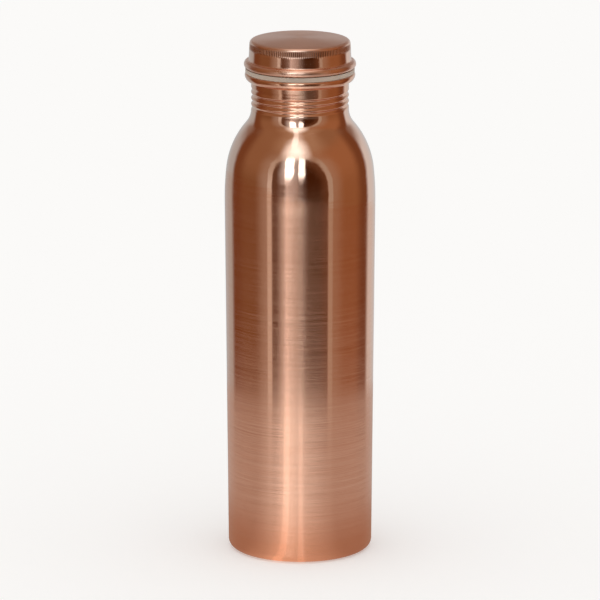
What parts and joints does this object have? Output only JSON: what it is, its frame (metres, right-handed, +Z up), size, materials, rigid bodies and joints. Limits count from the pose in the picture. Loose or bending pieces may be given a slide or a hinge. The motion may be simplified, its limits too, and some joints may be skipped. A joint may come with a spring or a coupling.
{
  "type": "water bottle",
  "caption": "Tall copper water bottle, slightly wider at the shoulder, with a rolled screw neck, a silicone seal and a knurled cap with a shallow dome.",
  "frame": {"origin": "centre of the foot, on the surface the bottle stands on", "axes": "+Z up along the bottle's axis, from the foot to the cap; the part is round about it"},
  "size_m": [0.0748, 0.0748, 0.26],
  "materials": {
    "body_copper": "copper, brushed round the body below the shoulder, polished on shoulder, neck and lip",
    "base_copper": "copper, satin",
    "braze": "braze alloy, as flowed",
    "silicone": "translucent silicone, matte",
    "cap_copper": "copper, satin dome with fine turning marks, polished grip and rim",
    "plug_copper": "copper, turned and polished"
  },
  "bodies": {
    "bottle": {"body_shell": "body_copper", "base_cup": "base_copper", "base_braze_ring": "braze"},
    "seal": {"sealing_ring": "silicone"},
    "cap": {"cap_cup": "cap_copper", "cap_plug": "plug_copper"}
  },
  "joints": [
    {"name": "cap_lift", "type": "slide", "parent": "bottle", "child": "seal", "axis": [0, 0, 1], "range_m": [0, 0.0196]},
    {"name": "cap_turn", "type": "hinge", "parent": "seal", "child": "cap", "pos_m": [0, 0, 0.2424], "axis": [0, 0, 1], "range_deg": [0, 2340]}
  ],
  "couplings": [
    {"joint": "cap_lift", "follows": "cap_turn", "m_per_rad": 0.00047746}
  ]
}
